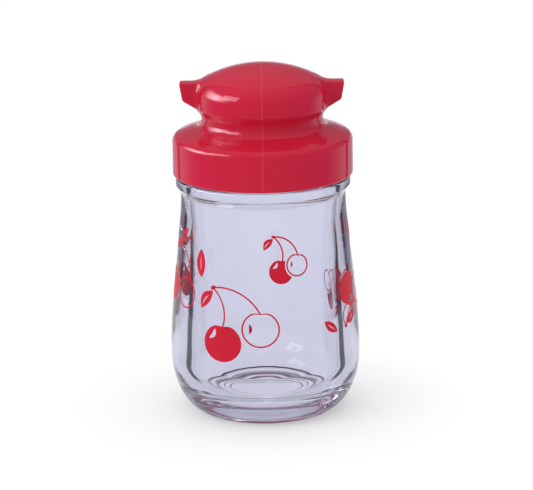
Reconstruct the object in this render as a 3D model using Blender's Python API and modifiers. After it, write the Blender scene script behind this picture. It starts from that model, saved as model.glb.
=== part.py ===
"""Table dispenser for a liquid condiment: a thick glass jar and a screw cap with two spouts.

The jar stands on z = 0 with its axis on Z, and the spouts point along +X and -X.
All lengths are in metres. The cap is shown screwed home.
"""

import math

import bmesh
import bpy
from mathutils import Matrix, Vector

# Clearances, and how far a cutter runs past what it cuts
SEAT_GAP = 0.0003
CENTRING_GAP = 0.0004
CUT_OVERRUN = 0.0020

# Jar, outside
BELLY_RADIUS = 0.03205
BELLY_HEIGHT = 0.0200
BELLY_CORNER_HEIGHT = 0.0297
BELLY_SWEEP = 0.1400
HEEL_INSET = 0.0113
FOOT_INSET = 0.00835
FOOT_HEIGHT = 0.0018
FOOT_ROUNDING = 0.0017
RIM_HEIGHT = 0.0923
RIM_ROUNDING = 0.0010
FINISH_HEIGHT = 0.0114
BEAD_PROUD = 0.00165
BEAD_HEIGHT = 0.0029
BEAD_CONE_HEIGHT = 0.0026
BEAD_ROUNDING = 0.0009
NECK_STRAIGHT_HEIGHT = 0.0044
NECK_SWEEP = 0.0700

# Jar, inside and underneath
NECK_WALL = 0.00295
BELLY_WALL = 0.0071
CAVITY_CORNER = 0.0090
FLOOR_THICKNESS = 0.0066
FOOT_RING_WIDTH = 0.0037
PUNT_DEPTH = 0.0012
PUNT_ROUNDING = 0.0006

# Sealing ring between the rim and the collar's deck
RING_THICKNESS = 0.0012

# Screw collar: skirt, deck, flare and throat. The thread room lies between skirt and finish
SKIRT_RADIUS = 0.03022
SKIRT_WALL = 0.0015
SKIRT_DEPTH = 0.0131
SKIRT_FOOT_ROUNDING = 0.0006
THREAD_ROOM = 0.00107
SHOULDER_WIDTH = 0.00992
SHOULDER_SLOPE = math.radians(17.3)
SHOULDER_EDGE_RISE = 0.0005
SHOULDER_ROUNDING = 0.0022
SHOULDER_INNER_ROUNDING = 0.0015
FLARE_CURVE = 0.0033
THROAT_WALL = 0.0018
LIP_WALL = 0.0012
LIP_DEPTH = 0.0036

# Spout head: waist, bulge and dome
HEAD_HEIGHT = 0.01813
HEAD_WALL = 0.0018
BULGE_PROUD = 0.0016
BULGE_TAPER = 0.0001
BULGE_EDGE_RISE = 0.0042
BULGE_EDGE_ROUNDING = 0.0006
DOME_RADIUS = 0.0415
DOME_EDGE_ROUNDING = 0.0042
CHAMBER_FLOOR_RISE = 0.0054
CHAMBER_CORNER = 0.0020

# Spigot that snaps into the collar's throat
SPIGOT_WALL = 0.0016
SPIGOT_DEPTH = 0.0052
SNAP_BEAD = 0.0007
SNAP_BEAD_HEIGHT = 0.0009

# Spouts
SPOUT_LENGTH = 0.00565
SPOUT_LEAN = 0.0007
SPOUT_WIDTH = 0.0060
SPOUT_DEPTH = 0.0061
SPOUT_DROP = 0.0059
SPOUT_SWEEP_RISE = 0.0021
SPOUT_ROOT_SHARE = 0.7
SPOUT_EDGE = 0.0006
SPOUT_TIP_CORNER = 0.0012
SPOUT_FLARE = 0.0020
CHANNEL_ROOT_RADIUS = 0.0019
CHANNEL_TIP_RADIUS = 0.0014

# Facets: steps in a full turn, how far a facet may lie inside the arc that it stands for,
# the join where a sweep meets itself, and the flattest corner that still takes a fillet
TURN_STEPS = 48
FACET_SAG = 0.00006
CHANNEL_SIDES = 16
SPOUT_FLARE_STEPS = 4
SEAM_MERGE = 0.000001
NEARLY_STRAIGHT = math.radians(179.8)

# Radii that follow from the sizes above, from the skirt inwards
SKIRT_INNER_RADIUS = SKIRT_RADIUS - SKIRT_WALL
NECK_RADIUS = SKIRT_INNER_RADIUS - THREAD_ROOM
MOUTH_RADIUS = NECK_RADIUS - NECK_WALL
BEAD_RADIUS = NECK_RADIUS + BEAD_PROUD
CAVITY_FOOT_RADIUS = BELLY_RADIUS - BELLY_WALL
FOOT_RADIUS = BELLY_RADIUS - FOOT_INSET
PUNT_RADIUS = FOOT_RADIUS - FOOT_RING_WIDTH
LIP_RADIUS = MOUTH_RADIUS - CENTRING_GAP
WAIST_RADIUS = SKIRT_RADIUS - SHOULDER_WIDTH
FLARE_CENTRE_RADIUS = WAIST_RADIUS + FLARE_CURVE
FLARE_FOOT_RADIUS = FLARE_CENTRE_RADIUS - FLARE_CURVE * math.sin(SHOULDER_SLOPE)
THROAT_RADIUS = WAIST_RADIUS - THROAT_WALL
SPIGOT_RADIUS = THROAT_RADIUS - SEAT_GAP
SPIGOT_BORE_RADIUS = SPIGOT_RADIUS - SPIGOT_WALL
BULGE_RADIUS = WAIST_RADIUS + BULGE_PROUD
BULGE_EDGE_RADIUS = BULGE_RADIUS - BULGE_TAPER
SPOUT_ROOT_RADIUS = BULGE_RADIUS * SPOUT_ROOT_SHARE
SPOUT_REACH = BULGE_RADIUS + SPOUT_LENGTH

# Heights that follow from them, from the rim down and then up
BEAD_TOP = RIM_HEIGHT - FINISH_HEIGHT
BEAD_CONE_TOP = BEAD_TOP - BEAD_HEIGHT
BEAD_FOOT_HEIGHT = BEAD_CONE_TOP - BEAD_CONE_HEIGHT
NECK_CORNER_HEIGHT = BEAD_FOOT_HEIGHT - NECK_STRAIGHT_HEIGHT
RING_FOOT = RIM_HEIGHT + SEAT_GAP
RING_TOP = RING_FOOT + RING_THICKNESS
DECK_UNDERSIDE = RING_TOP + SEAT_GAP
SHOULDER_EDGE = DECK_UNDERSIDE + SHOULDER_EDGE_RISE
SKIRT_FOOT = SHOULDER_EDGE - SKIRT_DEPTH
FLARE_FOOT = SHOULDER_EDGE + (SKIRT_RADIUS - FLARE_FOOT_RADIUS) * math.tan(SHOULDER_SLOPE)
COLLAR_TOP = FLARE_FOOT + FLARE_CURVE * math.cos(SHOULDER_SLOPE)
HEAD_FOOT = COLLAR_TOP + SEAT_GAP
HEAD_TOP = HEAD_FOOT + HEAD_HEIGHT
BULGE_EDGE_HEIGHT = HEAD_FOOT + BULGE_EDGE_RISE
DOME_CENTRE_HEIGHT = HEAD_TOP - DOME_RADIUS
SPIGOT_FOOT = HEAD_FOOT - SPIGOT_DEPTH
SPOUT_TOP = HEAD_TOP - SPOUT_DROP


def height_on_circle(radius, circle_radius, centre_height):
    """Height at which a circle centred on the axis passes this radius, on its upper side."""
    return centre_height + math.sqrt(circle_radius**2 - radius**2)


def facets(radius, turn):
    """How many facets an arc of this radius needs."""
    share = max(1 - FACET_SAG / radius, 0.0)
    return max(1, math.ceil(abs(turn) / (2 * math.acos(share))))


def ellipse(centre, semi_axes, start, end):
    """Points along an ellipse's arc from one angle to another, both ends included."""
    count = facets(max(semi_axes), end - start)
    angles = [start + (end - start) * i / count for i in range(count + 1)]
    return [
        Vector((centre[0] + semi_axes[0] * math.cos(a), centre[1] + semi_axes[1] * math.sin(a)))
        for a in angles
    ]


def rounded(corners):
    """An open outline through (x, y, fillet) corners, each fillet drawn as an arc.

    A fillet that would reach past the middle of either side is limited by that side.
    """
    points = [Vector(corners[0][:2])]
    for before, corner, after in zip(corners, corners[1:], corners[2:]):
        here = Vector(corner[:2])
        back = Vector(before[:2]) - here
        ahead = Vector(after[:2]) - here
        half_angle = back.angle(ahead) / 2
        if corner[2] == 0 or 2 * half_angle > NEARLY_STRAIGHT:
            points.append(here)
            continue
        reach = min(corner[2] / math.tan(half_angle), back.length / 2, ahead.length / 2)
        radius = reach * math.tan(half_angle)
        middle = here + (back.normalized() + ahead.normalized()).normalized() * (
            radius / math.sin(half_angle)
        )
        first = here + back.normalized() * reach - middle
        last = here + ahead.normalized() * reach - middle
        turn = first.angle_signed(last)
        count = facets(radius, turn)
        for i in range(count + 1):
            a = -turn * i / count
            points.append(
                middle
                + Vector(
                    (
                        first.x * math.cos(a) - first.y * math.sin(a),
                        first.x * math.sin(a) + first.y * math.cos(a),
                    )
                )
            )
    points.append(Vector(corners[-1][:2]))
    return points


def material(name, colour, roughness, transmission=0.0, ior=1.5):
    """A Principled material for one piece."""
    made = bpy.data.materials.new(name)
    made.use_nodes = True
    shader = made.node_tree.nodes["Principled BSDF"]
    shader.inputs["Base Color"].default_value = (*colour, 1.0)
    shader.inputs["Roughness"].default_value = roughness
    shader.inputs["Metallic"].default_value = 0.0
    shader.inputs["Transmission Weight"].default_value = transmission
    shader.inputs["IOR"].default_value = ior
    made.diffuse_color = (*colour, 1.0)
    return made


def collection(name, hidden=False):
    made = bpy.data.collections.new(name)
    made.hide_render = hidden
    bpy.context.scene.collection.children.link(made)
    return made


def add_object(name, mesh, home, finish=None):
    made = bpy.data.objects.new(name, mesh)
    home.objects.link(made)
    if finish:
        mesh.materials.append(finish)
    else:
        made.hide_render = True
        made.display_type = "WIRE"
    return made


def turned(name, outline, home, finish=None, closed=False):
    """A turned solid: the outline in the XZ plane, swept once round Z.

    The outline runs down its outer side, top to bottom. A closed outline makes a ring.
    """
    bm = bmesh.new()
    verts = [bm.verts.new((max(p[0], 0.0), 0.0, p[1])) for p in outline]
    for a, b in zip(verts, verts[1:]):
        bm.edges.new((a, b))
    if closed:
        bm.edges.new((verts[-1], verts[0]))
    mesh = bpy.data.meshes.new(name)
    bm.to_mesh(mesh)
    bm.free()
    made = add_object(name, mesh, home, finish)
    sweep = made.modifiers.new("Sweep round the axis", "SCREW")
    sweep.axis = "Z"
    sweep.angle = math.tau
    sweep.steps = TURN_STEPS
    sweep.render_steps = TURN_STEPS
    sweep.use_merge_vertices = True
    sweep.merge_threshold = SEAM_MERGE
    sweep.use_smooth_shade = True
    return made


def cut(piece, tool, operation="DIFFERENCE"):
    boolean = piece.modifiers.new(f"{operation.title()} {tool.name}", "BOOLEAN")
    boolean.operation = operation
    boolean.object = tool
    boolean.solver = "EXACT"


def jar_outline():
    """Half section of the jar, from the cavity's floor round the rim to the underside."""
    floor = FLOOR_THICKNESS
    walls = rounded(
        [
            (0.0, floor, 0),
            (CAVITY_FOOT_RADIUS, floor, CAVITY_CORNER),
            (MOUTH_RADIUS, RIM_HEIGHT, RIM_ROUNDING),
            (NECK_RADIUS, RIM_HEIGHT, RIM_ROUNDING),
            (NECK_RADIUS, BEAD_TOP, 0),
            (BEAD_RADIUS, BEAD_TOP, BEAD_ROUNDING),
            (BEAD_RADIUS, BEAD_CONE_TOP, BEAD_ROUNDING),
            (NECK_RADIUS, BEAD_FOOT_HEIGHT, BEAD_ROUNDING),
            (NECK_RADIUS, NECK_CORNER_HEIGHT, NECK_SWEEP),
            (BELLY_RADIUS, BELLY_CORNER_HEIGHT, BELLY_SWEEP),
            (BELLY_RADIUS, BELLY_HEIGHT, 0),
        ]
    )
    foot_angle = math.asin((BELLY_HEIGHT - FOOT_HEIGHT) / BELLY_HEIGHT)
    heel = ellipse(
        (BELLY_RADIUS - HEEL_INSET, BELLY_HEIGHT),
        (HEEL_INSET, BELLY_HEIGHT),
        0.0,
        -foot_angle,
    )
    foot = rounded(
        [
            (FOOT_RADIUS, FOOT_HEIGHT, 0),
            (FOOT_RADIUS, 0.0, FOOT_ROUNDING),
            (PUNT_RADIUS, 0.0, PUNT_ROUNDING),
            (PUNT_RADIUS - PUNT_DEPTH, PUNT_DEPTH, PUNT_ROUNDING),
            (0.0, PUNT_DEPTH, 0),
        ]
    )
    return walls[:-1] + heel + foot


def ring_outline():
    """Section of the flat sealing ring."""
    inner = LIP_RADIUS + SEAT_GAP
    return [
        (NECK_RADIUS, RING_TOP),
        (NECK_RADIUS, RING_FOOT),
        (inner, RING_FOOT),
        (inner, RING_TOP),
    ]


def flare(wall, foot_radius):
    """The hollow curve from the waist down to this radius, moved inwards by a wall."""
    spread = FLARE_CURVE + wall
    return ellipse(
        (FLARE_CENTRE_RADIUS, COLLAR_TOP - wall),
        (spread, FLARE_CURVE),
        math.pi,
        math.pi + math.acos((FLARE_CENTRE_RADIUS - foot_radius) / spread),
    )


def collar_outline():
    """Section of the collar: flare, sloping shoulder and skirt, then the same walls inside."""
    lip_inner = LIP_RADIUS - LIP_WALL
    lip_foot = DECK_UNDERSIDE - LIP_DEPTH
    lip_rounding = LIP_WALL / 3
    skirt = rounded(
        [
            (FLARE_FOOT_RADIUS, FLARE_FOOT, 0),
            (SKIRT_RADIUS, SHOULDER_EDGE, SHOULDER_ROUNDING),
            (SKIRT_RADIUS, SKIRT_FOOT, SKIRT_FOOT_ROUNDING),
            (SKIRT_INNER_RADIUS, SKIRT_FOOT, SKIRT_FOOT_ROUNDING),
            (SKIRT_INNER_RADIUS, DECK_UNDERSIDE, SHOULDER_INNER_ROUNDING),
            (LIP_RADIUS, DECK_UNDERSIDE, 0),
            (LIP_RADIUS, lip_foot, lip_rounding),
            (lip_inner, lip_foot, lip_rounding),
            (lip_inner, DECK_UNDERSIDE, 0),
        ]
    )
    inside = flare(THROAT_WALL, min(FLARE_CENTRE_RADIUS, lip_inner))
    inside.reverse()
    outside = flare(0.0, FLARE_FOOT_RADIUS)
    return outside + skirt[1:] + inside + [Vector((THROAT_RADIUS, COLLAR_TOP))]


def head_outline():
    """Outside of the head: dome, bulge, waist, spigot and snap bead. It is solid until it is cored."""
    dome_edge = height_on_circle(BULGE_RADIUS, DOME_RADIUS, DOME_CENTRE_HEIGHT)
    edge_angle = math.acos(BULGE_RADIUS / DOME_RADIUS)
    turn = math.pi / 2 - edge_angle
    fillet_reach = DOME_EDGE_ROUNDING * math.tan((math.pi / 2 - turn) / 2)
    dome_end = edge_angle + fillet_reach / DOME_RADIUS
    dome = ellipse(
        (0.0, DOME_CENTRE_HEIGHT),
        (DOME_RADIUS, DOME_RADIUS),
        math.pi / 2,
        dome_end,
    )
    bead_radius = SPIGOT_RADIUS + SNAP_BEAD
    rest = rounded(
        [
            dome[-1],
            (BULGE_RADIUS, dome_edge, DOME_EDGE_ROUNDING),
            (BULGE_EDGE_RADIUS, BULGE_EDGE_HEIGHT, BULGE_EDGE_ROUNDING),
            (WAIST_RADIUS, HEAD_FOOT, 0),
            (SPIGOT_RADIUS, HEAD_FOOT, 0),
            (SPIGOT_RADIUS, SPIGOT_FOOT + SNAP_BEAD_HEIGHT + SNAP_BEAD, 0),
            (bead_radius, SPIGOT_FOOT + SNAP_BEAD_HEIGHT, 0),
            (SPIGOT_RADIUS, SPIGOT_FOOT, 0),
            (0.0, SPIGOT_FOOT, 0),
        ]
    )
    return dome + rest[1:]


def chamber_outline():
    """What is cored out of the head: its chamber, and the spigot's bore down past its foot."""
    inner_dome = DOME_RADIUS - HEAD_WALL
    inner_radius = BULGE_RADIUS - HEAD_WALL
    dome_edge = height_on_circle(inner_radius, inner_dome, DOME_CENTRE_HEIGHT)
    dome = ellipse(
        (0.0, DOME_CENTRE_HEIGHT),
        (inner_dome, inner_dome),
        math.pi / 2,
        math.acos(inner_radius / inner_dome) + CHAMBER_CORNER / inner_dome,
    )
    rest = rounded(
        [
            dome[-1],
            (inner_radius, dome_edge, CHAMBER_CORNER),
            (inner_radius, HEAD_FOOT + CHAMBER_FLOOR_RISE, CHAMBER_CORNER),
            (SPIGOT_BORE_RADIUS, HEAD_FOOT + CHAMBER_FLOOR_RISE - HEAD_WALL, CHAMBER_CORNER),
            (SPIGOT_BORE_RADIUS, SPIGOT_FOOT - CUT_OVERRUN, 0),
            (0.0, SPIGOT_FOOT - CUT_OVERRUN, 0),
        ]
    )
    return dome + rest[1:]


def waist_radius_at(height):
    """Radius of the head's waist, which widens upwards to the bulge's edge."""
    share = (height - HEAD_FOOT) / BULGE_EDGE_RISE
    return WAIST_RADIUS + (BULGE_EDGE_RADIUS - WAIST_RADIUS) * share


def spout_section(reach, top, foot, half_width, lean):
    """One ring of a spout's loft: a rounded rectangle that leans in towards its foot."""
    flat = rounded(
        [
            (0.0, top, 0),
            (half_width, top, SPOUT_EDGE),
            (half_width, foot, SPOUT_EDGE),
            (0.0, foot, 0),
        ]
    )
    right = [(reach - lean * (top - p.y) / (top - foot), p.x, p.y) for p in flat[1:-1]]
    left = [(x, -y, z) for x, y, z in reversed(right)]
    return right + left


def spout_stations():
    """Sections from the head's wall out to the spout's face: (reach, foot, half width, lean)."""
    tip_foot = SPOUT_TOP - SPOUT_DEPTH
    root_foot = HEAD_FOOT + SPOUT_SWEEP_RISE
    root_reach = waist_radius_at(root_foot)
    fillet_centre = BULGE_RADIUS + SPOUT_FLARE
    half_width = SPOUT_WIDTH / 2

    def foot_at(reach):
        share = (reach - root_reach) / (SPOUT_REACH - SPOUT_LEAN - root_reach)
        return root_foot + (tip_foot - root_foot) * max(share, 0.0)

    stations = [(SPOUT_ROOT_RADIUS, foot_at(SPOUT_ROOT_RADIUS), half_width + SPOUT_FLARE, 0.0)]
    for i in range(SPOUT_FLARE_STEPS + 1):
        angle = math.pi / 2 * i / SPOUT_FLARE_STEPS
        reach = fillet_centre - SPOUT_FLARE * math.cos(angle)
        width = half_width + SPOUT_FLARE * (1 - math.sin(angle))
        stations.append((reach, foot_at(reach), width, 0.0))
    before_tip = SPOUT_REACH - SPOUT_TIP_CORNER
    stations.append((before_tip, foot_at(before_tip), half_width, SPOUT_LEAN))
    stations.append((SPOUT_REACH, tip_foot + SPOUT_TIP_CORNER / 2, half_width - SPOUT_EDGE / 2, SPOUT_LEAN))
    return stations


def spout_mesh():
    """A spout lofted along +X. Its root flares into the bulge and its foot sweeps to the waist."""
    bm = bmesh.new()
    rings = [
        [bm.verts.new(point) for point in spout_section(reach, SPOUT_TOP, foot, width, lean)]
        for reach, foot, width, lean in spout_stations()
    ]
    for ring, following in zip(rings, rings[1:]):
        for i in range(len(ring)):
            j = (i + 1) % len(ring)
            bm.faces.new((ring[i], ring[j], following[j], following[i]))
    bm.faces.new(rings[0])
    bm.faces.new(rings[-1])
    bmesh.ops.recalc_face_normals(bm, faces=bm.faces)
    mesh = bpy.data.meshes.new("spout")
    bm.to_mesh(mesh)
    bm.free()
    return mesh


def channel_mesh():
    """The tapered way through a spout, from the chamber out past its face.

    It is turned by half a facet, so that none of its edges lies in the object's middle plane.
    """
    start = BULGE_RADIUS - HEAD_WALL - CUT_OVERRUN
    end = SPOUT_REACH + CUT_OVERRUN
    bm = bmesh.new()
    bmesh.ops.create_cone(
        bm,
        cap_ends=True,
        segments=CHANNEL_SIDES,
        radius1=CHANNEL_ROOT_RADIUS,
        radius2=CHANNEL_TIP_RADIUS,
        depth=end - start,
        matrix=Matrix.Rotation(math.pi / CHANNEL_SIDES, 4, "Z"),
    )
    for vert in bm.verts:
        vert.co = Vector((vert.co.z + (start + end) / 2, vert.co.y, -vert.co.x))
    mesh = bpy.data.meshes.new("spout channel")
    bm.to_mesh(mesh)
    bm.free()
    return mesh


def build():
    for old in list(bpy.data.objects):
        bpy.data.objects.remove(old, do_unlink=True)
    parts = collection("condiment_dispenser")
    tools = collection("cutters and joined forms", hidden=True)

    glass = material("clear glass", (0.86, 0.88, 0.93), 0.02, transmission=1.0, ior=1.51)
    red = material("red gloss plastic", (0.51, 0.022, 0.045), 0.12)
    seal = material("soft white seal", (0.82, 0.81, 0.78), 0.55)

    turned("glass_jar", jar_outline(), parts, glass)
    turned("sealing_ring", ring_outline(), parts, seal, closed=True)
    turned("screw_collar", collar_outline(), parts, red, closed=True)

    head = turned("spout_head", head_outline(), parts, red.copy())
    spout = spout_mesh()
    channel = channel_mesh()
    channel_height = SPOUT_TOP - SPOUT_DEPTH / 2
    spouts = []
    channels = []
    for side, turn in (("right", 0.0), ("left", math.pi)):
        spouts.append(add_object(f"spout {side}", spout, tools))
        spouts[-1].rotation_euler.z = turn
        channels.append(add_object(f"channel {side}", channel, tools))
        channels[-1].rotation_euler.z = turn
        channels[-1].location.z = channel_height
    chamber = turned("head chamber", chamber_outline(), tools)
    for form in spouts:
        cut(head, form, "UNION")
    for form in [chamber, *channels]:
        cut(head, form)


build()
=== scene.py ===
# %% [markdown]
# # A table dispenser for sauce: pressed glass jar and red screw cap
#
# The jar is thick clear glass with cherries printed on it. The cap is glossy red plastic: a
# skirt with a thread inside, a shoulder that flares up to a waist, and a low dome with two
# small spouts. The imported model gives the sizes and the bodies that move, and this file
# builds what the eye sees around it.

# %% Load the frame
import math

import bmesh
import bpy
from mathutils import Matrix, Vector


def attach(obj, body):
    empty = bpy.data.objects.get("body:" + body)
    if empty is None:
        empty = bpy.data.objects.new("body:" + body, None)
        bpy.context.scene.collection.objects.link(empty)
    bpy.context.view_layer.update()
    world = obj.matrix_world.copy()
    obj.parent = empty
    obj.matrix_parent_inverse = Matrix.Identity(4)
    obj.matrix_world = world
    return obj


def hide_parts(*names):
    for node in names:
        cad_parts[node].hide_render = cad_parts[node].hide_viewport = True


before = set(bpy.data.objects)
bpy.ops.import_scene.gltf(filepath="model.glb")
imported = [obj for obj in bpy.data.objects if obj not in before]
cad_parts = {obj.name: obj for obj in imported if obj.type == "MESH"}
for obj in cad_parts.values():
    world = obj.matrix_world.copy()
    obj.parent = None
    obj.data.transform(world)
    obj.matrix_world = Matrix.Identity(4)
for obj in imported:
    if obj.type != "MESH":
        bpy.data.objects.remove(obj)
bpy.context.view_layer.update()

MM = 0.001


# %% [markdown]
# ## The camera
#
# The object was photographed with a long lens from about a metre away and a little above.
# A long lens keeps the jar's sides nearly parallel. The camera is rolled by under a degree,
# because the jar leans that much in the picture.
#
# Light runs along inside thick glass and turns many times before it comes out. With few
# turns allowed, the jar's shoulders would go black, so more turns are allowed here.

# %% Place the camera
CAMERA_PLACE = Vector((0.82, -1000.0, 326.6)) * MM
CAMERA_PITCH = math.radians(15.14)
CAMERA_ROLL = math.radians(0.845)
LENS_IN_FRAME_WIDTHS = 3065 / 533
LIGHT_TURNS, MIRROR_TURNS = 32, 24

lens = bpy.data.cameras.new("photo camera")
lens.sensor_width = 36.0
lens.lens = lens.sensor_width * LENS_IN_FRAME_WIDTHS
lens.clip_start, lens.clip_end = 0.05, 20.0
camera = bpy.data.objects.new("photo camera", lens)
bpy.context.scene.collection.objects.link(camera)
camera.matrix_world = (
    Matrix.Translation(CAMERA_PLACE)
    @ Matrix.Rotation(math.pi / 2 - CAMERA_PITCH, 4, "X")
    @ Matrix.Rotation(-CAMERA_ROLL, 4, "Z")
)
bpy.context.scene.camera = camera
bpy.context.scene.view_settings.view_transform = "Standard"
light_paths = bpy.context.scene.cycles
light_paths.max_bounces = light_paths.transmission_bounces = LIGHT_TURNS
light_paths.glossy_bounces = MIRROR_TURNS
print("lens:", round(lens.lens, 1), "mm")

# %% [markdown]
# ## Tools for turned pieces
#
# Every large form here is turned round one axis, so it starts as half a section. A few
# corners are joined into a wire, each corner is rounded by bevelling its vertex, and the
# wire is spun once round Z. Rounding by bevel keeps the numbers those of a drawing:
# a place and a radius for each corner.

# %% Draw a section
FACET_TURN = math.radians(8)
FACET_LENGTH = 2.0 * MM
MOST_FACETS = 40
SIDE_USED = 0.999  # a bevel may take up almost the whole of a side


def round_corner(bm, vert, radius):
    """Round a corner of a wire, with facets that are short and turn by little."""
    sides = [e.other_vert(vert).co - vert.co for e in vert.link_edges]
    half_angle = sides[0].angle(sides[1]) / 2
    turn = math.pi - 2 * half_angle
    facets = max(2, math.ceil(turn / FACET_TURN), math.ceil(turn * radius / FACET_LENGTH))
    bmesh.ops.bevel(
        bm, geom=[vert], affect="VERTICES", offset_type="OFFSET",
        offset=min(radius / math.tan(half_angle), *(SIDE_USED * s.length for s in sides)),
        segments=min(facets, MOST_FACETS), profile=0.5, material=-1,
    )


def section(corners, closed=False):
    """A wire through (x, z, radius) corners, in millimetres, in the XZ plane."""
    bm = bmesh.new()
    verts = [bm.verts.new(Vector((x, 0.0, z)) * MM) for x, z, _ in corners]
    for a, b in zip(verts, verts[1:]):
        bm.edges.new((a, b))
    if closed:
        bm.edges.new((verts[-1], verts[0]))
    for vert, (_, _, radius) in zip(verts, corners):
        if radius:
            round_corner(bm, vert, radius * MM)
    return bm


# %% Read a section's wall
def wall_points(bm, least_radius, highest=1000.0):
    """The (height, radius) points of a section beyond this radius, in millimetres."""
    points = [(v.co.z / MM, v.co.x / MM) for v in bm.verts]
    return sorted(p for p in points if p[1] > least_radius and p[0] < highest)


def radius_at(wall, z):
    """The radius between the two nearest points of a wall, in millimetres."""
    low = max((w for w in wall if w[0] <= z), default=wall[0])
    high = min((w for w in wall if w[0] > z), default=wall[-1])
    share = (z - low[0]) / max(high[0] - low[0], 0.001)
    return low[1] + (high[1] - low[1]) * min(max(share, 0.0), 1.0)


# %% Spin a section and make it a piece
TURN_STEPS = 192
CRISP_EDGE = math.radians(40)


def spin_round(bm, steps=TURN_STEPS):
    """Spin a section once round Z into a closed skin whose faces point outwards."""
    bmesh.ops.spin(
        bm, geom=bm.verts[:] + bm.edges[:], cent=(0, 0, 0), axis=(0, 0, 1),
        angle=math.tau, steps=steps, use_merge=True,
    )
    bmesh.ops.remove_doubles(bm, verts=bm.verts[:], dist=0.0003 * MM)
    bmesh.ops.recalc_face_normals(bm, faces=bm.faces[:])


def add_to(whole, part):
    """Join one bmesh into another."""
    held = bpy.data.meshes.new("held")
    part.to_mesh(held)
    part.free()
    whole.from_mesh(held)
    bpy.data.meshes.remove(held)


def piece(name, bm, finish=None):
    """A smooth-shaded object whose edges stay crisp where the faces turn sharply."""
    for face in bm.faces:
        face.smooth = True
    mesh = bpy.data.meshes.new(name)
    bm.to_mesh(mesh)
    bm.free()
    mesh.set_sharp_from_angle(angle=CRISP_EDGE)
    if finish:
        mesh.materials.append(finish)
    made = bpy.data.objects.new(name, mesh)
    bpy.context.scene.collection.objects.link(made)
    print(f"{name}: {len(mesh.vertices)} vertices, {len(mesh.polygons)} faces")
    return made


# %% [markdown]
# ## Tools for the moulded lines
#
# Moulded glass and plastic carry a fine raised line where the halves of the mould met. The
# skin is cut by a few planes close together, and the points between them are lifted by a
# hair, so the line is real and catches the light.

# %% Raise a parting line
def cut(bm, place, facing, merge):
    """Cut the skin along a plane and keep both sides. A point within merge lies on it."""
    bmesh.ops.bisect_plane(
        bm, geom=bm.verts[:] + bm.edges[:] + bm.faces[:], dist=merge,
        plane_co=place, plane_no=facing,
    )


def parting_line(bm, turn, width, height, chosen):
    """Raise the skin along the plane through Z turned by this angle from the YZ plane."""
    across = Matrix.Rotation(turn, 3, "Z") @ Vector((1, 0, 0))
    for share in (-1.0, -0.5, 0.0, 0.5, 1.0):
        cut(bm, across * (width * share), across, 0.0002 * MM)
    bm.normal_update()
    moves = []
    for vert in bm.verts:
        off = abs(vert.co.dot(across)) / width
        if off < 0.999 and chosen(vert):
            moves.append((vert, vert.normal * (height * math.cos(off * math.pi / 2) ** 2)))
    for vert, move in moves:
        vert.co += move
    print("parting line points:", len(moves))


# %% [markdown]
# ## Tools for finishes
#
# A finish is a node material. Sums on sockets read better as Python sums, so one small class
# wraps a socket, and each operator adds its Math node. A ramp is the sum used most: it says
# where something begins and where it is full.

# %% Wrap a socket
class Value:
    """A socket that can be added, multiplied and so on. Each step adds a Math node."""

    def __init__(self, finish, socket):
        self.finish = finish
        self.socket = socket

    def also(self, output):
        """Another output of the same node."""
        return Value(self.finish, self.socket.node.outputs[output])

    def math(self, operation, *values):
        return self.finish.node(
            "ShaderNodeMath", {"operation": operation}, dict(enumerate(values))
        )

    def __add__(self, other):
        return self.math("ADD", self, other)

    def __sub__(self, other):
        return self.math("SUBTRACT", self, other)

    def __rsub__(self, other):
        return self.math("SUBTRACT", other, self)

    def __mul__(self, other):
        return self.math("MULTIPLY", self, other)

    def __truediv__(self, other):
        return self.math("DIVIDE", self, other)

    def __pow__(self, other):
        return self.math("POWER", self, other)

    def __abs__(self):
        return self.math("ABSOLUTE", self)

    __radd__ = __add__
    __rmul__ = __mul__

    def clipped(self):
        """Kept between 0 and 1."""
        return self.finish.node(
            "ShaderNodeClamp", {}, {"Value": self, "Min": 0.0, "Max": 1.0}
        )


def ramp(value, none, full):
    """0 where the value is none, 1 where it is full, and an even slope between them."""
    return ((value - none) / (full - none)).clipped()


# %% Wrap a node tree
class Finish:
    """The node tree of a material or of the world."""

    def __init__(self, owner):
        owner.use_nodes = True
        self.owner = owner
        self.tree = owner.node_tree

    def node(self, kind, settings, inputs, output=0):
        """Add a node, make its settings, fill its sockets, and wrap one output."""
        made = self.tree.nodes.new(kind)
        for name, value in settings.items():
            setattr(made, name, value)
        for name, value in inputs.items():
            socket = made.inputs[name]
            if isinstance(value, Value):
                self.tree.links.new(value.socket, socket)
            elif socket.type == "RGBA":
                socket.default_value = (*value, 1.0)
            else:
                socket.default_value = value
        return Value(self, made.outputs[output])

    def feed(self, socket_name, value, node_name="Principled BSDF"):
        """Link a value into a socket of a node that is already there."""
        self.tree.links.new(value.socket, self.tree.nodes[node_name].inputs[socket_name])

    def place(self):
        """Where a point lies on its piece, in metres."""
        return self.node("ShaderNodeTexCoord", {}, {}, "Object")

    def mix(self, factor, first, second):
        """Blend two colours."""
        return self.node(
            "ShaderNodeMix", {"data_type": "RGBA"}, {0: factor, 6: first, 7: second}, 2
        )

    def noise(self, place, per_metre, detail=2.0):
        """Soft noise, about 0.5 on average, with this many features to a metre."""
        return self.node(
            "ShaderNodeTexNoise", {},
            {"Vector": place, "Scale": per_metre, "Detail": detail, "Roughness": 0.5},
        )

    def bump(self, height, distance):
        """Turn a height into a bent normal."""
        return self.node(
            "ShaderNodeBump", {}, {"Height": height, "Distance": distance, "Strength": 1.0}
        )


def new_finish(name, **constants):
    """A material whose even values stand on the Principled shader's own sockets."""
    finish = Finish(bpy.data.materials.new(name))
    shader = finish.tree.nodes["Principled BSDF"]
    for socket, value in constants.items():
        shader.inputs[socket.replace("_", " ")].default_value = value
    print("finish:", name, constants)
    return finish


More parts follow.
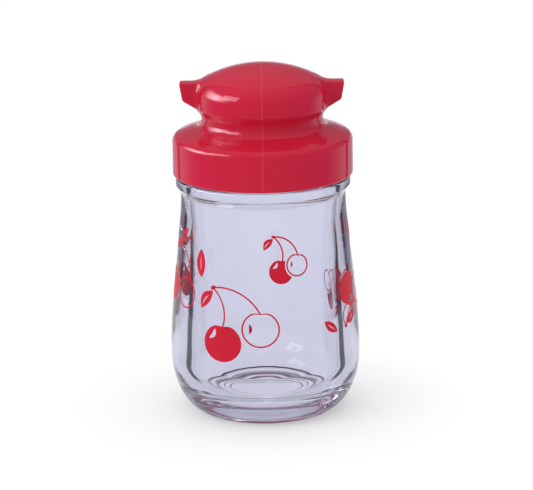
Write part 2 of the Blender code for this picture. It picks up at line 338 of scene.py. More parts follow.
# %% [markdown]
# ## Clear pressed glass
#
# Pressed glass is thick, and its tint is in its depth: a short way through it looks clear, and
# a long way, as at the jar's sides and in its foot, looks darker. So the colour is a volume
# that absorbs evenly, and the skin is almost white. The skin is not quite even either: the
# plunger and the mould leave slow ripples that bend what is seen, a wide and shallow bump.

# %% Glass
SKIN_TINTS = (0.975, 0.976, 0.990), (0.990, 0.991, 0.998)
DEPTH_TINT, DEPTH_DENSITY = (0.03, 0.03, 0.33), 7.0
RIPPLE_HEIGHT = 0.07 * MM

glass = new_finish(
    "clear pressed glass", Transmission_Weight=1.0, IOR=1.51, Specular_IOR_Level=0.5
)
place = glass.place()
glass.feed("Base Color", glass.mix(glass.noise(place, per_metre=30.0), *SKIN_TINTS))
haze = glass.noise(place, per_metre=900.0, detail=3.0)
glass.feed("Roughness", 0.004 + haze * 0.006)
slow_ripple = glass.noise(place, per_metre=70.0, detail=1.0)
fine_ripple = glass.noise(place, per_metre=260.0, detail=1.0)
glass.feed("Normal", glass.bump(slow_ripple + fine_ripple * 0.1, RIPPLE_HEIGHT))
absorbed = glass.node(
    "ShaderNodeVolumeAbsorption", {}, {"Color": DEPTH_TINT, "Density": DEPTH_DENSITY}
)
glass.feed("Volume", absorbed, "Material Output")

# %% [markdown]
# ## Red plastic
#
# The cap is polypropylene with a high gloss. Its colour is even, but the gloss is not: the
# moulding leaves a faint orange peel, and use leaves slightly duller places. Along the mould's
# parting line the skin is duller, and a lighter red there is a painted highlight, for the
# light that the fine ridge catches.

# %% Plastic
CAP_REDS = (0.500, 0.0095, 0.031), (0.525, 0.0115, 0.036)
# the lighter red of the parting line is a painted highlight
LINE_HIGHLIGHT_RED = (0.640, 0.045, 0.085)
LINE_EDGE, LINE_CORE = 0.49 * MM, 0.14 * MM
PEEL_HEIGHT = 0.004 * MM

plastic = new_finish("gloss cherry red plastic", IOR=1.49)
place = plastic.place()
shade = plastic.mix(plastic.noise(place, per_metre=45.0, detail=3.0), *CAP_REDS)
across = plastic.node("ShaderNodeSeparateXYZ", {}, {"Vector": place})
line = ramp(abs(across), LINE_EDGE, LINE_CORE)
# painted highlight: the parting line is painted a lighter red
plastic.feed("Base Color", plastic.mix(line * 0.28, shade, LINE_HIGHLIGHT_RED))
worn = 0.06 + plastic.noise(place, per_metre=260.0, detail=4.0) * 0.06
plastic.feed("Roughness", worn + line * 0.1)
wide_peel = plastic.noise(place, per_metre=130.0, detail=1.0)
fine_peel = plastic.noise(place, per_metre=800.0, detail=1.0)
plastic.feed("Normal", plastic.bump(fine_peel * 0.3 + wide_peel, PEEL_HEIGHT))

# %% [markdown]
# ## Printed ink
#
# The print is enamel fired onto the glass. It stands a few hundredths of a millimetre
# proud, it is less glossy than the glass, and its colour is a little uneven. So thin a film
# also lets light through, which is why its back looks red through the jar. A faint glow of
# its own colour stands for that light.

# %% Ink
INK_REDS = (0.370, 0.004, 0.016), (0.430, 0.009, 0.028)
INK_GLOWS = (0.125, 0.002, 0.006), (0.145, 0.003, 0.009)

ink = new_finish(
    "fired red enamel", IOR=1.5, Specular_IOR_Level=0.15, Emission_Strength=1.0
)
grain = ink.noise(ink.place(), per_metre=1500.0, detail=3.0)
ink.feed("Base Color", ink.mix(grain, *INK_REDS))
ink.feed("Emission Color", ink.mix(grain, *INK_GLOWS))
ink.feed("Roughness", 0.32 + grain * 0.16)
ink.feed("Normal", ink.bump(grain, 0.01 * MM))

# %% [markdown]
# ## Seal
#
# A soft off-white ring lies between the rim and the cap. It is matt, with a fine grain. Its
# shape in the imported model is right, so only its material is new.

# %% Rubber
SEAL_TINTS = (0.70, 0.69, 0.66), (0.82, 0.81, 0.78)

rubber = new_finish("soft seal", IOR=1.45)
grain = rubber.noise(rubber.place(), per_metre=1100.0, detail=4.0)
rubber.feed("Base Color", rubber.mix(grain, *SEAL_TINTS))
rubber.feed("Roughness", 0.45 + grain * 0.2)
rubber.feed("Normal", rubber.bump(grain, 0.03 * MM))
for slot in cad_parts["sealing_ring"].material_slots:
    slot.material = rubber.owner

# %% [markdown]
# ## The jar
#
# The jar is pressed: a plunger forms the cavity while the mould forms the outside. One
# section gives it all: the cavity's floor and wall, the rim, the finish that carries the
# thread, the bead under the cap, the long taper, the rounded heel and the foot ring. The
# recess in the foot has two fine rings, which show through the floor as pale and dark arcs.
#
# The heel is part of an ellipse, taller than it is wide. A bevel could draw it too, but the
# taper meets it at its widest point, so it is spun as a circle's arc and then squeezed.

# %% Jar section
FINISH_RADIUS, FINISH_FOOT, FINISH_TOP = 27.65, 80.9, 92.3
BELLY_RADIUS, HEEL_INSET, HEEL_HEIGHT = 31.99, 11.3, 20.0

jar = section(
    [
        (0.0, 6.6, 0),  # the cavity's floor, at the axis
        (24.9, 6.6, 10.8),  # its rounded corner
        (24.8, 40.0, 60.0),  # its wall, almost upright
        (24.7, FINISH_TOP, 1.0),  # the mouth
        (FINISH_RADIUS, FINISH_TOP, 0.9),  # the rim
        (FINISH_RADIUS, FINISH_FOOT, 0.3),  # the finish, down to the bead
        (29.30, FINISH_FOOT, 0.9),  # the bead
        (29.30, 78.0, 0.9),
        (FINISH_RADIUS, 75.4, 0.9),  # the neck below it
        (FINISH_RADIUS, 71.0, 70.0),  # where the taper starts
        (BELLY_RADIUS, 29.7, 140.0),  # where it ends
        (BELLY_RADIUS, HEEL_HEIGHT, 0),  # the top of the heel
    ]
)

# %% Heel
FOOT_HEIGHT = 1.8  # where the heel ends, above the table

tip = max(jar.verts, key=lambda v: (v.co.x > (BELLY_RADIUS - 0.09) * MM, -v.co.z))
pivot = Vector((BELLY_RADIUS - HEEL_INSET, 0.0, HEEL_HEIGHT)) * MM
tip.co.x = pivot.x + HEEL_HEIGHT * MM
above = set(jar.verts)
bmesh.ops.spin(
    jar, geom=[tip], cent=pivot, axis=(0, 1, 0), steps=28, use_merge=False,
    angle=math.asin((HEEL_HEIGHT - FOOT_HEIGHT) / HEEL_HEIGHT),
)
heel = [v for v in jar.verts if v not in above] + [tip]
bmesh.ops.scale(
    jar, vec=(HEEL_INSET / HEEL_HEIGHT, 1.0, 1.0), verts=heel,
    space=Matrix.Translation(-pivot),
)
heel_end = min(heel, key=lambda v: v.co.z).co.x / MM

# %% Foot
foot = section(
    [
        (heel_end, FOOT_HEIGHT, 0),  # the end of the heel
        (23.7, FOOT_HEIGHT, 0.25),  # the small step over the foot ring
        (23.7, 0.0, 1.5),  # the foot ring, which the jar stands on
        (20.0, 0.0, 0.6),
        (18.8, 1.2, 0.6),  # the recess
        (16.6, 1.2, 0.2),  # the outer fine ring
        (15.9, 0.9, 0.4),
        (15.2, 1.2, 0.2),
        (13.9, 1.2, 0.2),  # the inner fine ring
        (13.2, 0.9, 0.4),
        (12.5, 1.2, 0.2),
        (0.0, 1.2, 0),  # the middle of the recess
    ]
)
add_to(jar, foot)
bmesh.ops.remove_doubles(jar, verts=jar.verts[:], dist=0.001 * MM)
jar_wall = wall_points(jar, least_radius=27.6, highest=76.0)
print("jar section:", len(jar.verts), "points, heel ends at", round(heel_end, 2), "mm")

# %% [markdown]
# The thread is a low rounded ridge that climbs anticlockwise round the finish, so the cap
# comes off when it is turned anticlockwise. The finish gets fine rows of points before the
# spin, and the points near the helix are then moved out.

# %% Thread
PITCH = 4.2
THREAD_HEIGHT, THREAD_HALF_WIDTH = 0.72, 0.95
THREAD_ROWS = 48
THREAD_FULLNESS = 0.8  # under 1, so that the ridge's top is broad
THREAD_RUN_IN = 0.06  # the share of a turn in which an end rises


def helix_lift(angle, height, first, turns):
    """How near a point is to a rising helix, from 0 to 1, with tapered ends."""
    best = 0.0
    for lap in range(-1, 3):
        travelled = angle / math.tau + lap
        if 0.0 <= travelled <= turns:
            off = abs(height - first - PITCH * travelled) / THREAD_HALF_WIDTH
            ends = min(travelled, turns - travelled) / THREAD_RUN_IN
            if off < 1.0:
                ridge = math.cos(off * math.pi / 2) ** THREAD_FULLNESS
                best = max(best, ridge * min(1.0, ends))
    return best


def fine_rows(bm, radius, low, high):
    """Cut the long upright edge of a section at this radius into many short ones."""
    found = [
        e for e in bm.edges
        if all(abs(v.co.x - radius * MM) < 0.02 * MM for v in e.verts)
        and min(v.co.z for v in e.verts) < high * MM
        and max(v.co.z for v in e.verts) > low * MM
        and e.calc_length() > 2.0 * MM
    ]
    bmesh.ops.subdivide_edges(bm, edges=found, cuts=THREAD_ROWS)


def raise_thread(bm, radius, side, first, turns):
    """Move points of an upright wall out for side 1, or in for side -1."""
    moved = 0
    for vert in bm.verts:
        out = vert.co.xy.length
        if abs(out - radius * MM) > 0.03 * MM:
            continue
        angle = math.atan2(vert.co.y, vert.co.x) % math.tau
        near = helix_lift(angle, vert.co.z / MM, first, turns)
        lift = near * side * THREAD_HEIGHT * MM
        if lift:
            vert.co.xy *= (out + lift) / out
            moved += 1
    print("thread points:", moved)


# %% Jar body
SEAM_TURN, SEAM_WIDTH, SEAM_HEIGHT = math.radians(-9.0), 0.45 * MM, 0.07 * MM


def on_body_wall(vert):
    """Whether a point lies on the jar's outer wall, between the heel and the bead."""
    faces_out = vert.normal.xy.dot(vert.co.xy) > 0
    between = 28.0 * MM < vert.co.z < 80.5 * MM
    return faces_out and between and vert.co.xy.length > 27.0 * MM


fine_rows(jar, FINISH_RADIUS, FINISH_FOOT, FINISH_TOP)
spin_round(jar)
raise_thread(jar, FINISH_RADIUS, side=1, first=83.9, turns=1.25)
parting_line(jar, SEAM_TURN, SEAM_WIDTH, SEAM_HEIGHT, on_body_wall)
jar_body = piece("jar_body", jar, glass.owner)
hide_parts("glass_jar")
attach(jar_body, "jar")

# %% [markdown]
# ## The print
#
# Jars like this are screen printed: the design is flat on the screen, and the jar rolls
# under it. The print is made the same way here. Cherries, stems and leaves are drawn flat,
# as loops that are filled. The sheet is cut into narrow strips so that it can bend, it gets
# the thickness of the ink, and then it is wrapped round the glass. The drawing is a plain
# one of its own, with cherries because kitchen jars often carry them.

# %% Draw a loop and fill it
DENT_WIDTH = 0.33  # how far round a cherry its dent reaches, in radians


def loop(bm, place, radius, stretch=1.0, turn=0.0, bend=0.0, dip=0.0, point=0.0, keep_off=None):
    """A closed loop of edges: a circle that can be narrowed, bent, dented or pointed."""
    ring = bmesh.ops.create_circle(bm, cap_ends=False, radius=radius, segments=64)["verts"]
    for vert in ring:
        from_top = math.atan2(vert.co.x, vert.co.y)
        vert.co *= 1.0 - dip * math.exp(-((from_top / DENT_WIDTH) ** 2))
        high = vert.co.y / radius
        vert.co.x = vert.co.x * stretch * (1.0 - point * high * high) + bend * high * high
    bmesh.ops.rotate(bm, verts=ring, cent=(0, 0, 0), matrix=Matrix.Rotation(turn, 3, "Z"))
    bmesh.ops.translate(bm, verts=ring, vec=Vector((*place, 0.0)))
    if keep_off:
        centre, clear = Vector((*keep_off[0], 0.0)), keep_off[1]
        for vert in ring:
            off = vert.co - centre
            if off.length < clear:
                vert.co = centre + off.normalized() * clear
    return list(dict.fromkeys(e for v in ring for e in v.link_edges))


def fill(bm, *loops):
    """Ink between the loops: a loop inside another is left clear."""
    edges = [e for one in loops for e in one]
    bmesh.ops.triangle_fill(bm, use_beauty=True, edges=edges, normal=(0, 0, 1))


# %% Draw a stem
def stem(bm, start, end, bulge, width):
    """A strip along an arc, spun from one short edge."""
    start, end = Vector((*start, 0.0)), Vector((*end, 0.0))
    chord = end - start
    out = Vector((chord.y, -chord.x, 0.0)).normalized()
    radius = (chord.length_squared / 4 + bulge * bulge) / (2 * abs(bulge))
    side = math.copysign(1.0, bulge)
    centre = (start + end) / 2 - out * side * (radius - abs(bulge))
    spoke = (start - centre).normalized() * width / 2
    ends = [bm.verts.new(start + spoke), bm.verts.new(start - spoke)]
    angle = 2 * math.asin(min(chord.length / 2 / radius, 1.0)) * side
    bmesh.ops.spin(
        bm, geom=ends + [bm.edges.new(ends)], cent=centre, axis=(0, 0, 1), angle=angle,
        steps=24, use_merge=False,
    )


# %% Draw a pair of cherries and a leaf
LINE_WIDTH = 0.52  # of the stems and the open cherry, in millimetres
PAIR_GAP = 0.55  # the clear room between the two cherries, in millimetres
OPEN_RADIUS = 0.95  # the open cherry's radius beside the full one's


def cherry_pair(sheet, place, size, turn=0.0, second=(2.0, 0.82), meet=(-0.62, 2.82)):
    """A full cherry and an open one on two stems, with a leaf where the stems meet.

    It is drawn with 1 as the full cherry's radius, and then scaled to its size.
    """
    bm = bmesh.new()
    line, clear = LINE_WIDTH / size, OPEN_RADIUS * (1.0 + PAIR_GAP / size)
    fill(  # the full cherry and its highlight
        bm,
        loop(bm, (0, 0), 1.0, 1.03, dip=0.13, keep_off=(second, clear)),
        loop(bm, (-0.48, 0.40), 0.30, 0.36, turn=-0.55, bend=-0.10, point=0.2),
    )
    fill(  # the open cherry's outline, and then its highlight
        bm,
        loop(bm, second, OPEN_RADIUS, 1.02, dip=0.13),
        loop(bm, second, OPEN_RADIUS - line, 1.02, dip=0.10),
    )
    fill(bm, loop(bm, (second[0] - 0.50, second[1] + 0.02), 0.25, 0.34, bend=-0.06, point=0.3))
    stem(bm, (0.02, 0.84), meet, 0.34, line)
    stem(bm, (second[0], second[1] + 0.79), meet, 0.50, line)
    fill(bm, loop(bm, meet, 0.11, 1.5, turn=0.5))  # the knot where the stems meet
    leaf = (meet[0] - 0.44, meet[1] - 0.60)
    fill(  # the leaf, with its rib left clear
        bm,
        loop(bm, leaf, 0.60, 0.50, turn=-0.62, point=0.55, bend=0.10),
        loop(bm, (leaf[0] - 0.06, leaf[1] - 0.07), 0.34, 0.10, turn=-0.62, point=0.5, bend=0.06),
    )
    bmesh.ops.scale(bm, vec=(size, size, 1.0), verts=bm.verts[:])
    bmesh.ops.rotate(bm, verts=bm.verts[:], cent=(0, 0, 0), matrix=Matrix.Rotation(turn, 3, "Z"))
    bmesh.ops.translate(bm, verts=bm.verts[:], vec=Vector((*place, 0.0)))
    add_to(sheet, bm)


def lone_leaf(sheet, place, size, turn):
    """One leaf with its rib left clear."""
    bm = bmesh.new()
    fill(
        bm,
        loop(bm, place, size, 0.46, turn=turn, point=0.45, bend=0.06 * size),
        loop(bm, place, size * 0.55, 0.07, turn=turn, point=0.5, bend=0.03 * size),
    )
    add_to(sheet, bm)


# %% Lay out the sheet
sheet = bmesh.new()
cherry_pair(sheet, (-14.4, 30.2), 6.45)
cherry_pair(sheet, (5.8, 54.6), 4.1, turn=-0.12, second=(1.35, 0.62), meet=(-0.95, 2.75))
lone_leaf(sheet, (-24.4, 55.7), 4.6, 0.08)
cherry_pair(sheet, (35.5, 43.8), 6.0, turn=2.7, second=(-1.55, -0.35), meet=(-0.2, 2.05))
cherry_pair(sheet, (-43.5, 45.0), 5.6, turn=-0.5, second=(1.9, 0.9))
cherry_pair(sheet, (57.5, 33.0), 4.1, turn=0.5, second=(1.35, 0.62))
lone_leaf(sheet, (-36.0, 63.0), 3.6, -0.7)
lone_leaf(sheet, (23.5, 33.5), 3.4, 0.9)
lone_leaf(sheet, (46.0, 62.0), 3.8, 0.5)
reach = max(abs(v.co.x) for v in sheet.verts)
print("sheet:", len(sheet.faces), "faces, reaches", round(reach, 1), "mm to each side")

# %% Cut it into strips and wrap it round the jar
PRINT_RADIUS = 30.5  # the radius that the flat sheet is rolled at
STRIP_WIDTH, ROW_HEIGHT = 0.75, 3
INK_THICKNESS, INK_SUNK = 0.04, 0.01

strip = -reach
while strip < reach:
    cut(sheet, (strip, 0, 0), (1, 0, 0), 0.0001)
    strip += STRIP_WIDTH
for height in range(20, 70, ROW_HEIGHT):
    cut(sheet, (0, height, 0), (0, 1, 0), 0.0001)
pulled = bmesh.ops.extrude_face_region(sheet, geom=sheet.faces[:])["geom"]
outer = [g for g in pulled if isinstance(g, bmesh.types.BMVert)]
bmesh.ops.translate(sheet, verts=outer, vec=(0, 0, INK_THICKNESS))
bmesh.ops.recalc_face_normals(sheet, faces=sheet.faces[:])
for vert in sheet.verts:
    along, height, proud = vert.co
    angle = along / PRINT_RADIUS
    out = radius_at(jar_wall, height) - INK_SUNK + proud
    vert.co = Vector((out * math.sin(angle), -out * math.cos(angle), height)) * MM
print("print reaches", round(math.degrees(reach / PRINT_RADIUS)), "degrees to each side")
cherry_print = piece("cherry_print", sheet, ink.owner)
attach(cherry_print, "jar")

# %% [markdown]
# ## The collar
#
# The collar's section is a closed loop: waist, flare, sloping shoulder and skirt outside,
# then the same walls inside, with a lip that reaches into the jar's mouth. The flare is a
# rounded corner between the waist and the shoulder. The shoulder slopes by about 17 degrees
# and is a little hollow, so the underside of the head shows in it as a darker red zone.

# %% Collar
SKIRT_INSIDE, SKIRT_FOOT, SKIRT_CEILING = 28.72, 81.5, 94.1
WAIST_RADIUS = 20.35
CAP_LINE_WIDTH, CAP_LINE_HEIGHT = 0.30 * MM, 0.04 * MM

collar = section(
    [
        (18.5, 100.33, 0),  # the throat's edge
        (20.26, 100.33, 0),  # the waist, where the head sits on it
        (WAIST_RADIUS, 97.73, 3.35),  # the flare
        (25.5, 96.3, 12.0),  # the hollow of the shoulder
        (30.15, 94.6, 2.2),  # the top of the skirt
        (30.22, SKIRT_FOOT, 0.6),  # the foot of the skirt
        (SKIRT_INSIDE, SKIRT_FOOT, 0.6),
        (SKIRT_INSIDE, SKIRT_CEILING, 1.4),  # the ceiling over the jar's rim
        (24.3, SKIRT_CEILING, 0.3),
        (24.3, 90.5, 0.4),  # the lip in the jar's mouth
        (23.1, 90.5, 0.4),
        (23.1, 95.0, 0.3),
        (20.0, 95.6, 2.0),  # the throat
        (18.5, 98.3, 1.0),
    ],
    closed=True,
)


def on_collar_outside(vert):
    """Whether a point lies on the skirt's outside, the shoulder or the flare."""
    outwards = Vector((vert.co.x, vert.co.y, 0.0)).normalized()
    faces_out = vert.normal.dot(outwards + Vector((0, 0, 0.6))) > 0.2
    in_skirt = vert.co.xy.length < 28.9 * MM and vert.co.z < 94.3 * MM
    return vert.co.xy.length > WAIST_RADIUS * MM and faces_out and not in_skirt


fine_rows(collar, SKIRT_INSIDE, SKIRT_FOOT, SKIRT_CEILING)
spin_round(collar)
raise_thread(collar, SKIRT_INSIDE, side=-1, first=82.2, turns=1.6)
parting_line(collar, 0.0, CAP_LINE_WIDTH, CAP_LINE_HEIGHT, on_collar_outside)
collar_shell = piece("collar_shell", collar, plastic.owner)
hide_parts("screw_collar")
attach(collar_shell, "cap")

# %% [markdown]
# ## The head
#
# The head is turned solid, the spouts are joined to it, and then the chamber and the two
# channels are cut out, as a moulder's core would leave them. A spout is drawn from the side:
# its profile is a loop, pulled sideways to the spout's width, and then cut into fine strips
# so that it can widen in a fillet where it leaves the head.

# %% Head body
DOME_RADIUS, DOME_CENTRE = 41.5, 77.02
DOME_STEP, DOME_STEPS = 0.8, 24


def dome(x):
    """The dome's height at this distance from the axis, in millimetres."""
    return DOME_CENTRE + math.sqrt(DOME_RADIUS ** 2 - x ** 2)


head = section(
    [(DOME_STEP * step, dome(DOME_STEP * step), 0) for step in range(DOME_STEPS)]
    + [
        (21.8, 112.53, 6.0),  # the dome's edge
        (21.88, 104.45, 0.5),  # the foot of the bulge
        (20.62, 102.3, 3.0),  # the underside, down to the waist
        (20.30, 100.8, 1.2),
        (20.26, 100.36, 0),  # the joint with the collar
        (18.2, 100.36, 0),  # the spigot in the collar's throat
        (18.2, 96.9, 0.2),
        (18.85, 96.1, 0.3),  # its snap bead
        (18.2, 95.3, 0.3),
        (0.0, 95.3, 0),
    ]
)
head_wall = wall_points(head, least_radius=19.2)
spin_round(head)
head_body = piece("dispenser_head", head, plastic.owner)

# %% Spout
SPOUT_TOP, SPOUT_END, SPOUT_HALF, SPOUT_FILLET = 112.66, 27.5, 3.0, 2.0


def spout_half_width(x, z):
    """Half the spout's width: it widens in a fillet where it leaves the head."""
    wall = radius_at(head_wall, z)
    centre = math.sqrt((wall + SPOUT_FILLET) ** 2 - (SPOUT_HALF + SPOUT_FILLET) ** 2)
    touch = centre * wall / (wall + SPOUT_FILLET)
    off = min(max(centre - x, 0.0), centre - touch)
    return SPOUT_HALF + SPOUT_FILLET - math.sqrt(SPOUT_FILLET ** 2 - off ** 2)


def spout_block():
    """The spout's profile, pulled sideways to its width and rounded along its rims."""
    bm = section(
        [
            (15.0, 115.2, 0),  # inside the head
            (18.0, dome(18.0) - 0.03, 0),  # just under the dome
            (21.7, SPOUT_TOP, 8.0),
            (SPOUT_END + 0.04, SPOUT_TOP, 0.5),  # the mouth
            (26.5, 106.7, 1.3),
            (22.0, 104.0, 2.0),  # the underside
            (20.4, 102.2, 0),  # the waist
            (19.0, 101.8, 0),  # inside the head again
            (15.0, 104.0, 0),
        ],
        closed=True,
    )
    bmesh.ops.remove_doubles(bm, verts=bm.verts[:], dist=0.001 * MM)
    profile = bmesh.ops.contextual_create(bm, geom=bm.edges[:])["faces"]
    bmesh.ops.translate(bm, verts=bm.verts[:], vec=Vector((0, -SPOUT_HALF, 0)) * MM)
    pulled = bmesh.ops.extrude_face_region(bm, geom=profile)["geom"]
    moved = [g for g in pulled if isinstance(g, bmesh.types.BMVert)]
    bmesh.ops.translate(bm, verts=moved, vec=Vector((0, 2 * SPOUT_HALF, 0)) * MM)
    bmesh.ops.recalc_face_normals(bm, faces=bm.faces[:])
    rims = [e for e in bm.edges if abs(e.verts[0].co.y - e.verts[1].co.y) < 0.1 * MM]
    bmesh.ops.bevel(
        bm, geom=rims, offset=0.45 * MM, affect="EDGES", segments=4, profile=0.5, material=-1,
    )
    return bm


def spout(side):
    """A closed spout that points along +X, or along -X for side -1."""
    bm = spout_block()
    for step in range(14):
        cut(bm, Vector((20.4 + 0.25 * step, 0, 0)) * MM, (1, 0, 0), 0.001 * MM)
    for step in range(17):
        cut(bm, Vector((0, 0, 104.2 + 0.5 * step)) * MM, (0, 0, 1), 0.001 * MM)
    for vert in bm.verts:
        vert.co.y *= spout_half_width(vert.co.x / MM, vert.co.z / MM) / SPOUT_HALF
    if side < 0:
        half_turn = Matrix.Rotation(math.pi, 3, "Z")
        bmesh.ops.rotate(bm, verts=bm.verts[:], cent=(0, 0, 0), matrix=half_turn)
    return bm


# %% Channels and chamber
CHANNEL_START, CHANNEL_END, CHANNEL_HEIGHT = 18.1, 29.5, 109.6
CHANNEL_WIDE, CHANNEL_NARROW = 1.9 * MM, 1.4 * MM
CORNER_TURN = 0.05  # keeps the channel's corners off the head's middle plane


def channel(side):
    """The tapered way through a spout."""
    bm = bmesh.new()
    middle = Vector(((CHANNEL_START + CHANNEL_END) / 2 * side, 0, CHANNEL_HEIGHT)) * MM
    bmesh.ops.create_cone(
        bm, cap_ends=True, segments=40, radius1=CHANNEL_WIDE, radius2=CHANNEL_NARROW,
        depth=(CHANNEL_END - CHANNEL_START) * MM,
        matrix=Matrix.Translation(middle) @ Matrix.Rotation(side * math.pi / 2, 4, "Y")
        @ Matrix.Rotation(CORNER_TURN, 4, "Z"),
    )
    return bm


chamber = section(
    [
        (0.0, 116.6, 0),  # under the dome
        (14.0, 114.3, 30.0),
        (20.1, 111.2, 2.0),  # inside the bulge
        (20.1, 105.7, 2.0),
        (16.6, 103.9, 2.0),  # the way down through the spigot
        (16.6, 93.0, 0),
        (0.0, 93.0, 0),
    ]
)
spin_round(chamber, 128)


# %% Join, cut and draw the parting line
HEAD_CRISP_EDGE = math.radians(35)


def combine(body, tools):
    """Join or cut with each tool in turn, then keep only the result."""
    helpers = []
    for number, (operation, bm) in enumerate(tools):
        helper = piece(f"head tool {number}", bm)
        helpers.append(helper)
        step = body.modifiers.new(helper.name, "BOOLEAN")
        step.operation, step.object, step.solver = operation, helper, "EXACT"
    graph = bpy.context.evaluated_depsgraph_get()
    result = bpy.data.meshes.new_from_object(body.evaluated_get(graph))
    body.modifiers.clear()
    body.data = result
    for helper in helpers:
        bpy.data.objects.remove(helper)


def on_head_outside(vert):
    """Whether a point lies on the dome, the bulge or a spout, and not in the chamber."""
    outside = vert.co.xy.length > 20.3 * MM or vert.co.z > 113.0 * MM
    from_inside = Vector((vert.co.x, vert.co.y, vert.co.z - 80.0 * MM))
    faces_out = vert.normal.z > -0.4 and vert.normal.dot(from_inside) > 0
    return outside and faces_out and vert.co.z > 100.5 * MM


combine(
    head_body,
    [("UNION", spout(1)), ("UNION", spout(-1)), ("DIFFERENCE", chamber),
     ("DIFFERENCE", channel(1)), ("DIFFERENCE", channel(-1))],
)
head = bmesh.new()
head.from_mesh(head_body.data)
bmesh.ops.remove_doubles(head, verts=head.verts[:], dist=0.0005 * MM)
parting_line(head, 0.0, CAP_LINE_WIDTH, CAP_LINE_HEIGHT, on_head_outside)
for face in head.faces:
    face.smooth = True
head.to_mesh(head_body.data)
head.free()
head_body.data.set_sharp_from_angle(angle=HEAD_CRISP_EDGE)
print("head faces:", len(head_body.data.polygons))
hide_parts("spout_head")
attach(head_body, "cap")

# %% [markdown]
# ## The room
#
# The object stands on a small white table. What the camera sees behind it is plain white.
# Gloss and glass need more than that to look like what they are, because they show the room:
#
# - Light that falls on the object is even, a little stronger from above and the left.
# - Gloss shows a dim front, a pale screen with a bright horizon behind, a paler ceiling, and
#   one soft lamp at the left.
# - Glass shows a pale lavender screen. Clear glass on white would vanish, so a photographer
#   stands dark cards beside the screen. The glass gathers them into the two dark lines that
#   draw the cavity's walls. They are set by angle, where the photograph shows those lines.
# - What looks upwards through the glass is red, the colour that the cap gives to the rings
#   in the foot.
#
# Each of these is a sum on the direction that a ray leaves in. Its parts to the right, to
# the back and upwards each run from -1 to 1.

# %% Directions
room = Finish(bpy.data.worlds.new("studio"))
bpy.context.scene.world = room.owner
room.tree.nodes.clear()
way = room.node("ShaderNodeTexCoord", {}, {}, "Generated")
right = room.node("ShaderNodeSeparateXYZ", {}, {"Vector": way})
back, up = right.also("Y"), right.also("Z")
level = (right * right + back * back + 0.000001) ** 0.5
aside = abs(right) / level  # the sine of the angle to either side, seen from above
print("world:", room.owner.name)

# %% Dark cards
CARD_EDGE = 0.03


def dark_cards(begins, ends):
    """1 on the two cards beside the screen, between two sines of the angle aside."""
    width = ramp(aside, begins, begins + CARD_EDGE) * ramp(aside, ends, ends - CARD_EDGE)
    return width * ramp(back / level, 0.0, 0.1) * ramp(up, -0.675, -0.55)


# %% What gloss shows
FRONT_LEVEL, BESIDE_LEVEL = 0.24, 0.22
SCREEN_LEVEL, HORIZON_LEVEL, CEILING_LEVEL = 0.30, 0.60, 0.45
LAMP_LEVEL, LAMP_FALL = 13.0, 1.2

screen = ramp(back, 0.0, 0.5) * ramp(up, 0.2, -0.133)
horizon = ramp(back, 0.8, 0.9) * ramp(abs(up + 0.03), 0.08, 0.0)
ceiling = ramp(up, 0.375, 1.208)
lamp_across = ramp(abs(back - 0.02), 0.54, 0.0) * ramp(right, -0.2, -0.533)
lamp_high = ramp(abs(up - 0.24), 0.304, 0.114)
lamp = (lamp_across * lamp_high) ** LAMP_FALL * LAMP_LEVEL
beside = abs(right) ** 1.5
mirror = FRONT_LEVEL + beside * BESIDE_LEVEL + screen * SCREEN_LEVEL
mirror = mirror + horizon * HORIZON_LEVEL + ceiling * CEILING_LEVEL
mirror = mirror * (1.0 - dark_cards(0.63, 0.75) * 0.9) + lamp
gloss_hue = room.mix(beside, (0.88, 0.86, 1.0), (0.76, 0.42, 1.0))
gloss_hue = room.mix((lamp + horizon + screen).clipped(), gloss_hue, (0.90, 0.86, 1.0))

# %% What glass shows
SCREEN_HUE, CAP_HUE = (0.735, 0.747, 0.885), (0.50, 0.13, 0.20)

rays = room.node("ShaderNodeLightPath", {}, {}, "Is Camera Ray")
clear = 1.0 - ramp(aside, 0.27, 0.37) * 0.12 - ramp(aside, 0.5, 0.625) * 0.06
clear = clear - ramp(up, -0.35, -0.15) * 0.12
clear = clear * (1.0 - dark_cards(0.67, 0.84) * 0.96)
unscattered = (1.0 - rays.also("Diffuse Depth")).clipped()
glass_hue = room.mix(ramp(up, 0.3125, 0.4375) * unscattered, SCREEN_HUE, CAP_HUE)

# %% Choose by the kind of ray
glossy, through = rays.also("Is Glossy Ray"), rays.also("Is Transmission Ray")
even = 0.90 + up * 0.22 - right * 0.08
strength = glossy * mirror + (1.0 - glossy) * even
strength = through * clear + (1.0 - through) * strength
strength = rays + (1.0 - rays) * strength
hue = room.mix(through, room.mix(glossy, (1.0, 1.0, 1.0), gloss_hue), glass_hue)
background = room.node("ShaderNodeBackground", {}, {"Color": hue, "Strength": strength})
surface = room.tree.nodes.new("ShaderNodeOutputWorld")
room.tree.links.new(background.socket, surface.inputs["Surface"])
print("world nodes:", len(room.tree.nodes))

# %% [markdown]
# The table keeps the object's shadow near its middle. Further out, what the camera sees
# turns to plain white, so the table's edge never shows. The table is left out of what is
# seen through the glass, so that the foot shows the screen's colour, and its front is dim
# in the cap's gloss, so that the skirt stays deep red. Both are choices for the picture.

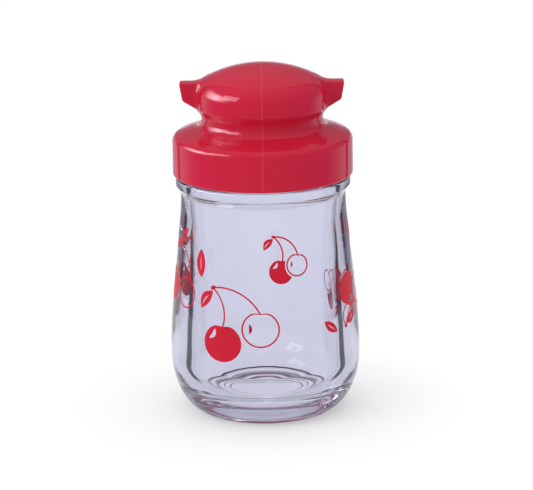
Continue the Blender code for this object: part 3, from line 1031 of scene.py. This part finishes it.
# %% Table
TABLE_RADIUS = 0.24
TABLE_WHITE, FRONT_GREY = (0.86, 0.86, 0.86), (0.17, 0.17, 0.19)
WHITE = (1.0, 1.0, 1.0)

white = new_finish("white table", Roughness=0.9)
place = white.place()
away = white.node("ShaderNodeVectorMath", {"operation": "LENGTH"}, {0: place}, "Value")
depth = white.node("ShaderNodeSeparateXYZ", {}, {"Vector": place}, "Y")
seen = white.node("ShaderNodeLightPath", {}, {}, "Is Camera Ray")
in_front = seen.also("Is Glossy Ray") * ramp(depth, -30.0 * MM, -80.0 * MM)
white.feed("Base Color", white.mix(in_front, TABLE_WHITE, FRONT_GREY))
solid = Value(white, white.tree.nodes["Principled BSDF"].outputs[0])
glow = white.node("ShaderNodeEmission", {}, {"Color": WHITE, "Strength": 1.0})
gone = white.node("ShaderNodeBsdfTransparent", {}, {"Color": WHITE})
fading = ramp(away, -1.0 * MM, 69.0 * MM) * seen
lit = white.node("ShaderNodeMixShader", {}, {0: fading, 1: solid, 2: glow})
left_out = seen.also("Is Transmission Ray")
top = white.node("ShaderNodeMixShader", {}, {0: left_out, 1: lit, 2: gone})
white.feed("Surface", top, "Material Output")

table_top = bmesh.new()
bmesh.ops.create_circle(table_top, cap_ends=True, segments=96, radius=TABLE_RADIUS)
table = piece("studio_table", table_top, white.owner)

# %% [markdown]
# One large soft lamp at the left gives the object its shadow and a brighter side. It throws
# no highlight of its own, because the world already holds the one that gloss shows.

# %% Lamp
LAMP_PLACE, LAMP_AIM = (-0.8, -0.45, 0.55), Vector((0, 0, 0.06))

lamp_data = bpy.data.lights.new("left soft lamp", "AREA")
lamp_data.shape = "RECTANGLE"
lamp_data.size, lamp_data.size_y = 0.5, 0.4
lamp_data.energy = 2.6
lamp_data.specular_factor = 0.0
lamp_object = bpy.data.objects.new("left soft lamp", lamp_data)
bpy.context.scene.collection.objects.link(lamp_object)
lamp_object.location = LAMP_PLACE
lamp_object.rotation_mode = "QUATERNION"
lamp_object.rotation_quaternion = (LAMP_AIM - lamp_object.location).to_track_quat("-Z", "Y")
print("lamp:", round(lamp_data.energy, 1), "W")
